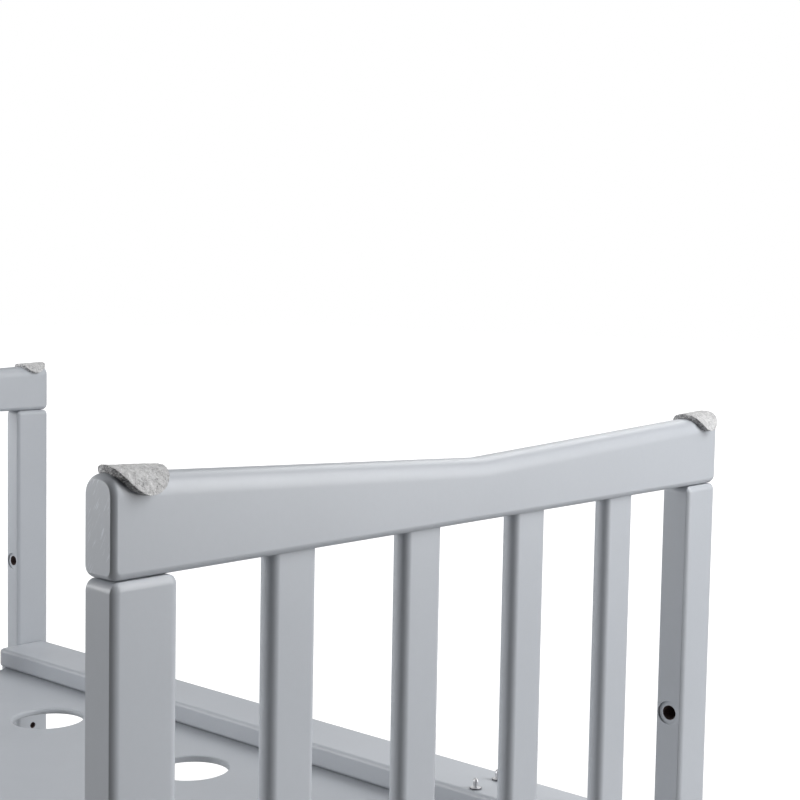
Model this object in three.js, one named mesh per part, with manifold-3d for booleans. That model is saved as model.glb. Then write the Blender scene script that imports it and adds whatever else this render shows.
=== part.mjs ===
// A convertible crib: two slatted end frames joined by two flat beams that carry a vented base board.
// Millimetres, +Z up. X runs along the crib, Y across it, and the origin is on the floor at the middle.
import * as THREE from 'three';
import { mergeVertices } from 'three/addons/utils/BufferGeometryUtils.js';
import Module from 'manifold-3d';

const wasm = await Module();
wasm.setup();

// Overall sizes
const INSIDE_LENGTH = 810; // between the two end frames
const FRAME_WIDTH = 540; // over the outer faces of the posts
const POST_HEIGHT = 711;

// End frames
const POST_WIDTH = 38;
const STOCK = 22; // thickness of posts and rails
const EDGE_ROUND = 4; // along the edges of posts and rails
const CORNER_ROUND = 5; // at the corners of their broad faces
const RAIL_END_HEIGHT = 49;
const RAIL_MIDDLE_HEIGHT = 36.6; // at the bottom of the shallow V
const RAIL_FOOT_ROUND = 3.5; // along the rail's lower edges
const RAIL_CORNER_ROUND = 6; // at the lower end corners of its broad faces
const LOWER_RAIL_HEIGHT = 45;
const LOWER_RAIL_UNDERSIDE = 110; // above the floor

// Slats
const SLAT_COUNT = 4;
const SLAT_PITCH = 101;
const SLAT_WIDTH = 33;
const SLAT_THICKNESS = 12;
const SLAT_ROUND = 5.5;
const SLAT_TENON_LENGTH = 12; // of a slat's end inside a rail

// Base: two beams and the board below them
const BEAM_WIDTH = 56;
const BEAM_INSET = 6.5; // of its outer face from the posts' outer face
const BEAM_THICKNESS = 20;
const BEAM_ROUND = 4;
const BEAM_CORNER = 5;
const BEAM_TOP_BELOW_POSTS = 257.5;
const BASE_STEP = 84.75; // down to the second height of the base
const BOARD_THICKNESS = 6;
const BOARD_SIDE_MARGIN = 2; // from the beam's outer face
const BOARD_ROUND = 1.5;
const BOARD_CORNER = 6;
const BOARD_TONGUE = 58; // width of the board's ends under a beam, from the posts' outer face
const BOARD_END_RECESS = 13; // of the board's end between the tongues
const BOARD_RECESS_CORNER = 15;
const VENT_RADIUS = 33;
const VENT_COLUMNS = 3;
const VENT_PITCH = 210;
const VENT_SHIFT = 4; // of the middle column, towards the right end
const VENT_ROW_FROM_SIDE = 136.5;

// Joints of the end frames: dowels under the top rail, tenons on the lower rail
const DOWEL_RADIUS = 4;
const DOWEL_LENGTH = 40;
const DOWEL_SPACING = 18;
const RAIL_TENON_LENGTH = 18;
const RAIL_TENON_HEIGHT = 33;
const RAIL_TENON_THICKNESS = 8;

// Connector bolts, barrel nuts and the holes they need
const BOLT_RADIUS = 3;
const BOLT_LENGTH = 60; // below the head
const BOLT_HEAD_RADIUS = 8.5;
const BOLT_HEAD_THICKNESS = 2.4;
const BOLT_SOCKET_RADIUS = 2.3;
const BOLT_SOCKET_DEPTH = 1.7;
const COUNTERBORE_DEPTH = 3.4;
const BARREL_RADIUS = 5;
const BARREL_LENGTH = 13;
const BARREL_FROM_BEAM_END = 32;
const CROSS_HOLE_RADIUS = 5.3; // for a sleeve nut, through the width of a post
const CROSS_HOLE_BELOW_TOP = 166;

// Studs on the beams
const STUD_FROM_END_FRAME = 152.7; // from the inner face of the end frame
const STUDS_FROM_SIDE = 39.1; // middle of a pair, from the posts' outer face
const STUD_SPACING = 28.8;
const STUD_COLLAR_RADIUS = 4.8;
const STUD_COLLAR_HEIGHT = 1;
const STUD_NECK_RADIUS = 1.7;
const STUD_HEAD_RADIUS = 2.4;
const STUD_HEAD_HEIGHT = 2.6;
const STUD_HEIGHT = 8.6; // above the beam
const STUD_THREAD_RADIUS = 2.5;
const STUD_DEPTH = 11;

// Screws that hold the board to the beams
const SCREWS_PER_BEAM = 4;
const SCREW_HEAD_RADIUS = 3.6;
const SCREW_HEAD_HEIGHT = 2.2;
const SCREW_RADIUS = 1.8;
const SCREW_LENGTH = 17;
const SCREW_END_MARGIN = 70; // first screw from the beam's end
const SCREW_FROM_SIDE = 31; // from the posts' outer face

// Felt pads
const FELT_RADIUS = 14.7;
const FELT_THICKNESS = 2.5;
const FELT_LIFT = 1.2; // of its hanging rim off the rail
const FELT_OUTWARD = 2; // of a pad's centre off the crest, away from the crib
const FELT_NEAR_FROM_END = 18.8; // pad centre to the rail's end, right front pad
const FELT_FAR_FROM_END = 15; // pad centre to the rail's end, the other pads

// Fits
const JOINT_GAP = 0.3; // between pieces that seat on each other
const FELT_GAP = 0.5; // between a pad and the rail's faceted crest
const BLIND_ROOM = 1; // left at the bottom of a blind hole
const OVERRUN = 1; // of a cut past the face where it starts
const MERGE_DISTANCE = 0.0001; // between points that are one corner

// Numbers of facets
const CORNER_STEPS = 3;
const EDGE_STEPS = 3;
const CREST_STEPS = 10;
const BORE_SIDES = 12;
const SMALL_BORE_SIDES = 8;
const SOCKET_SIDES = 6;
const VENT_SIDES = 20;
const FELT_ROWS = 12;
const FELT_COLUMNS = 4;
const FELT_TRIM_SHARE = 0.9; // of a row, cut off the disc's two hanging ends
const BOARD_EDGE_STEPS = 2;

// Places worked out from the sizes
const END_FRAME_X = (INSIDE_LENGTH + STOCK) / 2;
const POST_Y = (FRAME_WIDTH - POST_WIDTH) / 2;
const BEAM_TOP = POST_HEIGHT - BEAM_TOP_BELOW_POSTS;
const BEAM_BOTTOM = BEAM_TOP - BEAM_THICKNESS;
const BEAM_Y = (FRAME_WIDTH - BEAM_WIDTH) / 2 - BEAM_INSET;
const BEAM_LENGTH = INSIDE_LENGTH - 2 * JOINT_GAP;
const BOLT_Z = BEAM_BOTTOM + BEAM_THICKNESS / 2;
const BOARD_TOP = BEAM_BOTTOM - JOINT_GAP;
const LOWER_RAIL_TOP = LOWER_RAIL_UNDERSIDE + LOWER_RAIL_HEIGHT;
const LOWER_RAIL_LENGTH = FRAME_WIDTH - 2 * POST_WIDTH - 2 * JOINT_GAP;
const RAIL_BOTTOM = POST_HEIGHT + JOINT_GAP;
const BORE_RADIUS = DOWEL_RADIUS + JOINT_GAP;
const BORE_DEPTH = DOWEL_LENGTH / 2 + BLIND_ROOM;

const QUARTER = Math.PI / 2;
const SIDES = { right: 1, left: -1 };
const ROWS = { front: -1, rear: 1 };

// Finishes
const lacquer = () => new THREE.MeshStandardMaterial({ color: 0xb4b6bb, roughness: 0.5, metalness: 0 });
const felt = () => new THREE.MeshStandardMaterial({ color: 0xa8a8a8, roughness: 1, metalness: 0 });
const steel = () => new THREE.MeshStandardMaterial({ color: 0xc9ccd0, roughness: 0.25, metalness: 1 });
const beech = () => new THREE.MeshStandardMaterial({ color: 0xd2b48a, roughness: 0.8, metalness: 0 });

// Axes of the crib, for turning shapes that are drawn flat
const X = new THREE.Vector3(1, 0, 0);
const Y = new THREE.Vector3(0, 1, 0);
const Z = new THREE.Vector3(0, 0, 1);
const acrossEnd = () => new THREE.Matrix4().makeBasis(Y, Z, X);

// Turns a closed geometry into a solid that can be cut
function toSolid(geometry) {
  const bare = geometry.index ? geometry.toNonIndexed() : geometry.clone();
  bare.deleteAttribute('normal');
  bare.deleteAttribute('uv');
  const merged = mergeVertices(bare, MERGE_DISTANCE);
  const numbers = merged.index.array;
  const kept = [];
  for (let i = 0; i < numbers.length; i += 3) {
    const [a, b, c] = [numbers[i], numbers[i + 1], numbers[i + 2]];
    if (a !== b && b !== c && c !== a) kept.push(a, b, c);
  }
  return new wasm.Manifold(new wasm.Mesh({
    numProp: 3,
    vertProperties: new Float32Array(merged.attributes.position.array),
    triVerts: new Uint32Array(kept),
  }));
}

function toGeometry(solid) {
  const { vertProperties, triVerts } = solid.getMesh();
  const geometry = new THREE.BufferGeometry();
  geometry.setAttribute('position', new THREE.BufferAttribute(new Float32Array(vertProperties), 3));
  geometry.setIndex(new THREE.BufferAttribute(new Uint32Array(triVerts), 1));
  geometry.computeVertexNormals();
  return geometry;
}

const cut = (body, cutters) => (
  cutters.map(toSolid).reduce((left, cutter) => left.subtract(cutter), toSolid(body))
);
const join = (pieces) => pieces.map(toSolid).reduce((all, piece) => all.add(piece));

function mesh(name, solid, material, place = [0, 0, 0]) {
  const part = new THREE.Mesh(solid.isBufferGeometry ? solid : toGeometry(solid), material);
  part.name = name;
  part.position.set(...place);
  return part;
}

// Points along an arc of an outline, both ends included
function arcPoints(x, y, radius, from, to, steps) {
  return Array.from({ length: steps + 1 }, (_, i) => {
    const angle = from + (to - from) * i / steps;
    return new THREE.Vector2(x + radius * Math.cos(angle), y + radius * Math.sin(angle));
  });
}

// A rectangle with rounded corners
function roundedRectangle(width, height, radius) {
  const corners = [[1, 1], [-1, 1], [-1, -1], [1, -1]];
  return new THREE.Shape(corners.flatMap(([right, up], turn) => {
    const [x, y] = [right * (width / 2 - radius), up * (height / 2 - radius)];
    return arcPoints(x, y, radius, turn * QUARTER, (turn + 1) * QUARTER, CORNER_STEPS);
  }));
}

// A flat blank whose outline is drawn, centred in its thickness, with rounded edges on both faces
function blank(shape, thickness, round, steps = EDGE_STEPS) {
  const geometry = new THREE.ExtrudeGeometry(shape, {
    depth: thickness - 2 * round,
    bevelThickness: round,
    bevelSize: round,
    bevelOffset: -round,
    bevelSegments: steps,
  });
  return geometry.translate(0, 0, round - thickness / 2);
}

// A plug that cuts a round hole: starts at a point and runs along an axis
function plug(radius, start, axis, length, sides = BORE_SIDES) {
  const geometry = new THREE.CylinderGeometry(radius, radius, length, sides);
  const turn = new THREE.Quaternion().setFromUnitVectors(Y, axis);
  const middle = axis.clone().multiplyScalar(length / 2).add(start);
  return geometry.applyQuaternion(turn).translate(...middle.toArray());
}

// The same, begun a little outside the face so that the cut is clean
function bore(radius, mouth, axis, depth, sides = BORE_SIDES) {
  const start = axis.clone().multiplyScalar(-OVERRUN).add(mouth);
  return plug(radius, start, axis, depth + OVERRUN, sides);
}

const at = (x, y, z) => new THREE.Vector3(x, y, z);
const turned = (axis, sign) => axis.clone().multiplyScalar(sign);

// A revolved piece along +Z, from [radius, height] points that start and end on the axis
function revolve(points, sides = BORE_SIDES) {
  const profile = points.map(([radius, height]) => new THREE.Vector2(radius, height));
  return new THREE.LatheGeometry(profile, sides).rotateX(Math.PI / 2);
}

const slatPlaces = Array.from({ length: SLAT_COUNT }, (_, i) => (i - (SLAT_COUNT - 1) / 2) * SLAT_PITCH);
const crestHeight = (y) => {
  const share = Math.abs(y) / (FRAME_WIDTH / 2);
  return RAIL_MIDDLE_HEIGHT + (RAIL_END_HEIGHT - RAIL_MIDDLE_HEIGHT) * share;
};
const dowelOffsets = [-DOWEL_SPACING / 2, DOWEL_SPACING / 2];

// A post in its own frame: centred across, its foot at zero
function post(side, row) {
  const outline = roundedRectangle(POST_WIDTH, POST_HEIGHT, CORNER_ROUND);
  const body = blank(outline, STOCK, EDGE_ROUND).applyMatrix4(acrossEnd()).translate(0, 0, POST_HEIGHT / 2);
  const inward = turned(X, -side);
  const crossZ = POST_HEIGHT - CROSS_HOLE_BELOW_TOP;
  const innerFace = -row * POST_WIDTH / 2;
  const towardsSide = turned(Y, row);
  const cutters = [
    bore(CROSS_HOLE_RADIUS, at(0, innerFace, crossZ), towardsSide, POST_WIDTH + OVERRUN),
    bore(BOLT_HEAD_RADIUS, at(0, innerFace, crossZ), towardsSide, COUNTERBORE_DEPTH),
  ];
  for (const z of [BOLT_Z, BOLT_Z - BASE_STEP]) {
    const outerFace = at(side * STOCK / 2, 0, z);
    cutters.push(bore(BOLT_RADIUS + JOINT_GAP, outerFace, inward, STOCK + OVERRUN));
    cutters.push(bore(BOLT_HEAD_RADIUS + JOINT_GAP, outerFace, inward, COUNTERBORE_DEPTH));
  }
  for (const y of dowelOffsets) {
    cutters.push(bore(BORE_RADIUS, at(0, y, POST_HEIGHT), turned(Z, -1), BORE_DEPTH));
  }
  const slotReach = RAIL_TENON_LENGTH + JOINT_GAP + OVERRUN;
  cutters.push(tongue(JOINT_GAP, slotReach, row).translate(0, innerFace - row * OVERRUN, 0));
  return cut(body, cutters);
}

// One cross-section of the top rail: rounded foot corners and a half-round crest, drawn in from
// the full section by an inset, with its foot raised by a lift
function railSection(y, inset, lift) {
  const half = STOCK / 2 - inset;
  const foot = Math.max(RAIL_FOOT_ROUND - inset, RAIL_FOOT_ROUND / 10);
  const crest = crestHeight(y) - STOCK / 2;
  return [
    ...arcPoints(half - foot, lift + foot, foot, -QUARTER, 0, CORNER_STEPS),
    ...arcPoints(0, crest, half, 0, 2 * QUARTER, CREST_STEPS),
    ...arcPoints(foot - half, lift + foot, foot, 2 * QUARTER, 3 * QUARTER, CORNER_STEPS),
  ].map((point) => at(point.x, y, point.y));
}

// Joins cross-sections with equal numbers of points into one closed body
function loft(sections) {
  const corners = [];
  const triangle = (...points) => points.forEach((p) => corners.push(p.x, p.y, p.z));
  const count = sections[0].length;
  for (let s = 0; s + 1 < sections.length; s += 1) {
    for (let i = 0; i < count; i += 1) {
      const next = (i + 1) % count;
      const [a, b] = [sections[s][i], sections[s][next]];
      const [c, d] = [sections[s + 1][i], sections[s + 1][next]];
      triangle(a, c, b);
      triangle(b, c, d);
    }
  }
  const [first, last] = [sections[0], sections[sections.length - 1]];
  for (let i = 1; i + 1 < count; i += 1) {
    triangle(first[0], first[i], first[i + 1]);
    triangle(last[0], last[i + 1], last[i]);
  }
  const geometry = new THREE.BufferGeometry();
  geometry.setAttribute('position', new THREE.BufferAttribute(new Float32Array(corners), 3));
  return geometry;
}

// The blind slot in a rail for the end of a slat
function mortise(y, z, depth) {
  const [width, thickness] = [SLAT_WIDTH + 2 * JOINT_GAP, SLAT_THICKNESS + 2 * JOINT_GAP];
  const outline = roundedRectangle(thickness, width, SLAT_ROUND);
  const slot = new THREE.ExtrudeGeometry(outline, { depth, bevelEnabled: false });
  return slot.translate(0, y, z);
}

// How far a quarter round has drawn in at a distance past its start
function drawnIn(radius, past) {
  const reach = Math.min(radius, Math.max(0, past));
  return radius - Math.sqrt(radius ** 2 - reach ** 2);
}

// The top rail in its own frame, its underside at zero: a shallow V with a half-round crest,
// drawn from sections that shrink and rise round its two ends
function topRail() {
  const end = FRAME_WIDTH / 2;
  const [bend, corner] = [end - EDGE_ROUND, end - RAIL_CORNER_ROUND];
  const turns = arcPoints(bend, 0, EDGE_ROUND, QUARTER, 0, EDGE_STEPS).map((point) => point.x);
  const section = (row, y) => (
    railSection(row * y, drawnIn(EDGE_ROUND, y - bend), drawnIn(RAIL_CORNER_ROUND, y - corner))
  );
  const places = [corner, ...turns];
  const body = loft([
    ...places.toReversed().map((y) => section(ROWS.front, y)),
    section(ROWS.front, 0),
    ...places.map((y) => section(ROWS.rear, y)),
  ]);
  const depth = SLAT_TENON_LENGTH + JOINT_GAP;
  const cutters = slatPlaces.map((y) => mortise(y, -OVERRUN, depth + OVERRUN));
  for (const row of Object.values(ROWS)) {
    for (const offset of dowelOffsets) {
      cutters.push(bore(BORE_RADIUS, at(0, row * POST_Y + offset, 0), Z, BORE_DEPTH));
    }
  }
  return cut(body, cutters);
}

// The tongue on the lower rail's end, or with some room the slot for it, from zero along Y
function tongue(room, length, row) {
  const [thickness, height] = [RAIL_TENON_THICKNESS + 2 * room, RAIL_TENON_HEIGHT + 2 * room];
  const outline = roundedRectangle(height, thickness, RAIL_TENON_THICKNESS / 2);
  const middle = LOWER_RAIL_UNDERSIDE + LOWER_RAIL_HEIGHT / 2;
  return new THREE.ExtrudeGeometry(outline, { depth: length, bevelEnabled: false })
    .applyMatrix4(new THREE.Matrix4().makeBasis(Z, X, Y))
    .translate(0, row > 0 ? 0 : -length, middle);
}

// The lower rail between the posts, in the frame of the end
function lowerRail() {
  const outline = roundedRectangle(LOWER_RAIL_LENGTH, LOWER_RAIL_HEIGHT, CORNER_ROUND);
  const middle = LOWER_RAIL_UNDERSIDE + LOWER_RAIL_HEIGHT / 2;
  const bar = blank(outline, STOCK, EDGE_ROUND).applyMatrix4(acrossEnd()).translate(0, 0, middle);
  const rooted = 2 * RAIL_TENON_LENGTH;
  const tongues = Object.values(ROWS).map((row) => tongue(0, rooted, row)
    .translate(0, row * (LOWER_RAIL_LENGTH / 2 + JOINT_GAP - RAIL_TENON_LENGTH), 0));
  const depth = SLAT_TENON_LENGTH + JOINT_GAP;
  const body = join([bar, ...tongues]);
  return cut(toGeometry(body), slatPlaces.map((y) => mortise(y, LOWER_RAIL_TOP - depth, depth + OVERRUN)));
}

// A slat with both ends inside the rails
function slat() {
  const outline = roundedRectangle(SLAT_THICKNESS, SLAT_WIDTH, SLAT_ROUND);
  const length = RAIL_BOTTOM - LOWER_RAIL_TOP + 2 * SLAT_TENON_LENGTH;
  return new THREE.ExtrudeGeometry(outline, { depth: length, bevelEnabled: false })
    .translate(0, 0, LOWER_RAIL_TOP - SLAT_TENON_LENGTH);
}

// A dowel between a post and the top rail, with small chamfers at its ends
function dowel() {
  const chamfer = DOWEL_RADIUS / 4;
  const half = DOWEL_LENGTH / 2;
  return revolve([
    [0, -half], [DOWEL_RADIUS - chamfer, -half], [DOWEL_RADIUS, chamfer - half],
    [DOWEL_RADIUS, half - chamfer], [DOWEL_RADIUS - chamfer, half], [0, half],
  ], SMALL_BORE_SIDES);
}

// A beam, with holes for its bolts, barrel nuts, studs and screws
function beam(row) {
  const outline = roundedRectangle(BEAM_LENGTH, BEAM_WIDTH, BEAM_CORNER);
  const body = blank(outline, BEAM_THICKNESS, BEAM_ROUND).translate(0, row * BEAM_Y, BOLT_Z);
  const cutters = [];
  for (const side of Object.values(SIDES)) {
    const end = side * BEAM_LENGTH / 2;
    const inward = turned(X, -side);
    const boltDepth = BOLT_LENGTH + COUNTERBORE_DEPTH - STOCK + BLIND_ROOM;
    cutters.push(bore(BOLT_RADIUS + JOINT_GAP, at(end, row * POST_Y, BOLT_Z), inward, boltDepth));
    const barrelMouth = at(end - side * BARREL_FROM_BEAM_END, row * POST_Y, BEAM_BOTTOM);
    const barrelDepth = (BEAM_THICKNESS + BARREL_LENGTH) / 2 + JOINT_GAP;
    cutters.push(bore(BARREL_RADIUS + JOINT_GAP, barrelMouth, Z, barrelDepth));
  }
  for (const [x, y] of studPlaces(row)) {
    const [radius, depth] = [STUD_THREAD_RADIUS + JOINT_GAP, STUD_DEPTH + JOINT_GAP];
    cutters.push(bore(radius, at(x, y, BEAM_TOP), turned(Z, -1), depth, SMALL_BORE_SIDES));
  }
  for (const [x, y] of screwPlaces(row)) {
    const depth = SCREW_LENGTH - BOARD_THICKNESS + BLIND_ROOM;
    cutters.push(bore(SCREW_RADIUS + JOINT_GAP, at(x, y, BEAM_BOTTOM), Z, depth, SMALL_BORE_SIDES));
  }
  return cut(body, cutters);
}

function studPlaces(row) {
  const x = INSIDE_LENGTH / 2 - STUD_FROM_END_FRAME;
  const y = FRAME_WIDTH / 2 - STUDS_FROM_SIDE;
  return [-x, x].flatMap((place) => [-1, 1].map((step) => [place, row * y + step * STUD_SPACING / 2]));
}

function screwPlaces(row) {
  const reach = BEAM_LENGTH / 2 - SCREW_END_MARGIN;
  const y = row * (FRAME_WIDTH / 2 - SCREW_FROM_SIDE);
  return Array.from({ length: SCREWS_PER_BEAM }, (_, i) => [reach * (2 * i / (SCREWS_PER_BEAM - 1) - 1), y]);
}

// A stud from the beam's top at zero: a collar, a thin neck and a domed head
function stud() {
  const neckTop = STUD_HEIGHT - STUD_HEAD_HEIGHT;
  const collarTop = JOINT_GAP + STUD_COLLAR_HEIGHT;
  return revolve([
    [0, -STUD_DEPTH], [STUD_THREAD_RADIUS, -STUD_DEPTH], [STUD_THREAD_RADIUS, JOINT_GAP],
    [STUD_COLLAR_RADIUS, JOINT_GAP], [STUD_COLLAR_RADIUS, collarTop],
    [STUD_NECK_RADIUS, collarTop], [STUD_NECK_RADIUS, neckTop],
    [STUD_HEAD_RADIUS, neckTop], [STUD_HEAD_RADIUS, STUD_HEIGHT - STUD_HEAD_RADIUS / 2],
    [STUD_HEAD_RADIUS / 2, STUD_HEIGHT], [0, STUD_HEIGHT],
  ], SMALL_BORE_SIDES);
}

// A flat-headed connector bolt: its head's underside at zero, its shank downwards
function beamBolt() {
  const head = BOLT_HEAD_THICKNESS;
  const body = revolve([
    [0, -BOLT_LENGTH], [BOLT_RADIUS, -BOLT_LENGTH], [BOLT_RADIUS, 0], [BOLT_HEAD_RADIUS, 0],
    [BOLT_HEAD_RADIUS, head / 2], [BOLT_HEAD_RADIUS - BOLT_RADIUS / 3, head], [0, head],
  ]);
  const socket = plug(BOLT_SOCKET_RADIUS, at(0, 0, head - BOLT_SOCKET_DEPTH), Z, head, SOCKET_SIDES);
  return cut(body, [socket]);
}

// A barrel nut round its middle, standing across its bolt
function barrelNut() {
  const half = BARREL_LENGTH / 2;
  const edge = BARREL_RADIUS / 10;
  const body = revolve([
    [0, -half], [BARREL_RADIUS - edge, -half], [BARREL_RADIUS, edge - half],
    [BARREL_RADIUS, half - edge], [BARREL_RADIUS - edge, half], [0, half],
  ]);
  const thread = plug(BOLT_RADIUS + JOINT_GAP, at(-2 * BARREL_RADIUS, 0, 0), X, 4 * BARREL_RADIUS);
  const slot = new THREE.BoxGeometry(3 * BARREL_RADIUS, BARREL_RADIUS / 4, BARREL_LENGTH / 6)
    .translate(0, 0, -half);
  return cut(body, [thread, slot]);
}

// The outline of the base board: tongues under the beams and a filleted recess between them at
// each end
function boardOutline() {
  const [length, width] = [BEAM_LENGTH / 2, BEAM_Y + BEAM_WIDTH / 2 - BOARD_SIDE_MARGIN];
  const fillet = BOARD_RECESS_CORNER;
  const inner = length - BOARD_END_RECESS + fillet;
  const tongue = FRAME_WIDTH / 2 - BOARD_TONGUE - fillet;
  const meeting = Math.acos(Math.min(0, BOARD_END_RECESS / fillet - 1));
  const corner = (right, up, turn) => arcPoints(
    right * (length - BOARD_CORNER), up * (width - BOARD_CORNER), BOARD_CORNER,
    turn * QUARTER, (turn + 1) * QUARTER, CORNER_STEPS,
  );
  const notch = (right, up, from, to) => (
    arcPoints(right * inner, up * tongue, fillet, from, to, CORNER_STEPS)
  );
  return new THREE.Shape([
    ...corner(1, 1, 0),
    ...corner(-1, 1, 1),
    ...notch(-1, 1, 2 * QUARTER - meeting, 0),
    ...notch(-1, -1, 0, meeting - 2 * QUARTER),
    ...corner(-1, -1, 2),
    ...corner(1, -1, 3),
    ...notch(1, -1, -meeting, -2 * QUARTER),
    ...notch(1, 1, 2 * QUARTER, meeting),
  ]);
}

// The base board with its vents and countersunk screw holes
function baseBoard() {
  const outline = boardOutline();
  for (let column = 0; column < VENT_COLUMNS; column += 1) {
    const x = (column - (VENT_COLUMNS - 1) / 2) * VENT_PITCH + VENT_SHIFT;
    for (const row of Object.values(ROWS)) {
      const y = row * (FRAME_WIDTH / 2 - VENT_ROW_FROM_SIDE);
      outline.holes.push(new THREE.Path(arcPoints(x, y, VENT_RADIUS, 4 * QUARTER, 0, VENT_SIDES).slice(1)));
    }
  }
  const body = blank(outline, BOARD_THICKNESS, BOARD_ROUND, BOARD_EDGE_STEPS)
    .translate(0, 0, BOARD_TOP - BOARD_THICKNESS / 2);
  const hole = revolve([
    [0, -OVERRUN], [SCREW_HEAD_RADIUS + JOINT_GAP, -OVERRUN], [SCREW_HEAD_RADIUS + JOINT_GAP, 0],
    [SCREW_RADIUS + JOINT_GAP, SCREW_HEAD_HEIGHT], [SCREW_RADIUS + JOINT_GAP, BOARD_THICKNESS + OVERRUN],
    [0, BOARD_THICKNESS + OVERRUN],
  ], SMALL_BORE_SIDES);
  const places = Object.values(ROWS).flatMap(screwPlaces);
  return cut(body, places.map(([x, y]) => hole.clone().translate(x, y, BOARD_TOP - BOARD_THICKNESS)));
}

// A countersunk screw that stands on its head
function boardScrew() {
  return revolve([
    [0, 0], [SCREW_HEAD_RADIUS, 0], [SCREW_RADIUS, SCREW_HEAD_HEIGHT],
    [SCREW_RADIUS, SCREW_LENGTH - 2 * SCREW_RADIUS], [0, SCREW_LENGTH],
  ], SMALL_BORE_SIDES);
}

// A slab from a grid of places on its two faces, with a rim round the grid
function gridSlab(rows, columns, place) {
  const corners = [];
  const quad = (...points) => {
    const [a, b, c, d] = points;
    [a, b, c, a, c, d].forEach((point) => corners.push(point.x, point.y, point.z));
  };
  for (let r = 0; r < rows; r += 1) {
    for (let c = 0; c < columns; c += 1) {
      quad(place(r, c, 1), place(r, c + 1, 1), place(r + 1, c + 1, 1), place(r + 1, c, 1));
      quad(place(r, c, 0), place(r + 1, c, 0), place(r + 1, c + 1, 0), place(r, c + 1, 0));
    }
    quad(place(r, 0, 0), place(r, 0, 1), place(r + 1, 0, 1), place(r + 1, 0, 0));
    quad(place(r, columns, 1), place(r, columns, 0), place(r + 1, columns, 0), place(r + 1, columns, 1));
  }
  for (let c = 0; c < columns; c += 1) {
    quad(place(0, c, 0), place(0, c + 1, 0), place(0, c + 1, 1), place(0, c, 1));
    quad(place(rows, c, 1), place(rows, c + 1, 1), place(rows, c + 1, 0), place(rows, c, 0));
  }
  const geometry = new THREE.BufferGeometry();
  geometry.setAttribute('position', new THREE.BufferAttribute(new Float32Array(corners), 3));
  return geometry;
}

// A round felt pad bent over the crest of a top rail, in the frame of the end. It is laid out flat
// as rows across the rail, each as long as the disc is there, and then wrapped round the crest
function feltPad(side, row, fromEnd) {
  const middle = row * (FRAME_WIDTH / 2 - fromEnd);
  const around = STOCK / 2 + FELT_GAP;
  const place = (r, c, level) => {
    const turn = 2 * QUARTER * (r + FELT_TRIM_SHARE) / (FELT_ROWS + 2 * FELT_TRIM_SHARE);
    const across = FELT_RADIUS * Math.cos(turn) + side * FELT_OUTWARD;
    const along = FELT_RADIUS * Math.sin(turn) * (2 * c / FELT_COLUMNS - 1);
    const angle = Math.max(-QUARTER, Math.min(QUARTER, across / around));
    const hanging = Math.max(0, Math.abs(across) - around * QUARTER);
    const lift = around + FELT_LIFT * (across / FELT_RADIUS) ** 2 + level * FELT_THICKNESS;
    const y = middle + along;
    const axis = RAIL_BOTTOM + crestHeight(y) - STOCK / 2;
    return at(lift * Math.sin(angle), y, axis + lift * Math.cos(angle) - hanging);
  };
  return toSolid(gridSlab(FELT_ROWS, FELT_COLUMNS, place));
}

// One end frame: posts, rails, slats, dowels and felt pads
function endFrame(sideName) {
  const side = SIDES[sideName];
  const group = new THREE.Group();
  group.position.x = side * END_FRAME_X;
  for (const [rowName, row] of Object.entries(ROWS)) {
    const corner = `${sideName}_${rowName}`;
    const fromEnd = corner === 'right_front' ? FELT_NEAR_FROM_END : FELT_FAR_FROM_END;
    group.add(mesh(`${corner}_post`, post(side, row), lacquer(), [0, row * POST_Y, 0]));
    group.add(mesh(`${corner}_felt_pad`, feltPad(side, row, fromEnd), felt()));
    dowelOffsets.forEach((offset, i) => {
      const place = [0, row * POST_Y + offset, POST_HEIGHT + JOINT_GAP / 2];
      group.add(mesh(`${corner}_dowel_${i + 1}`, toSolid(dowel()), beech(), place));
    });
  }
  group.add(mesh(`${sideName}_top_rail`, topRail(), lacquer(), [0, 0, RAIL_BOTTOM]));
  group.add(mesh(`${sideName}_lower_rail`, lowerRail(), lacquer()));
  slatPlaces.forEach((y, i) => {
    group.add(mesh(`${sideName}_slat_${i + 1}`, toSolid(slat()), lacquer(), [0, y, 0]));
  });
  return group;
}

// One beam with its studs, and the screws, bolts and barrel nuts that hold it
function beamGroup(rowName) {
  const row = ROWS[rowName];
  const group = new THREE.Group();
  group.add(mesh(`${rowName}_beam`, beam(row), lacquer()));
  studPlaces(row).forEach(([x, y], i) => {
    group.add(mesh(`${rowName}_beam_stud_${i + 1}`, toSolid(stud()), steel(), [x, y, BEAM_TOP]));
  });
  screwPlaces(row).forEach(([x, y], i) => {
    const place = [x, y, BOARD_TOP - BOARD_THICKNESS];
    group.add(mesh(`${rowName}_board_screw_${i + 1}`, toSolid(boardScrew()), steel(), place));
  });
  for (const [sideName, side] of Object.entries(SIDES)) {
    const seat = side * (END_FRAME_X + STOCK / 2 - COUNTERBORE_DEPTH + JOINT_GAP);
    const bolt = mesh(`${sideName}_${rowName}_bolt`, beamBolt(), steel(), [seat, row * POST_Y, BOLT_Z]);
    bolt.rotation.y = side * QUARTER;
    const nutX = side * (BEAM_LENGTH / 2 - BARREL_FROM_BEAM_END);
    const nut = mesh(`${sideName}_${rowName}_barrel_nut`, barrelNut(), steel(), [nutX, row * POST_Y, BOLT_Z]);
    group.add(bolt, nut);
  }
  return group;
}

const crib = new THREE.Group();
Object.keys(SIDES).forEach((sideName) => crib.add(endFrame(sideName)));
Object.keys(ROWS).forEach((rowName) => crib.add(beamGroup(rowName)));
crib.add(mesh('base_board', baseBoard(), lacquer()));

export default crib;
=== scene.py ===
import math

import bmesh
import bpy
from mathutils import Matrix, Vector, noise

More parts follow.
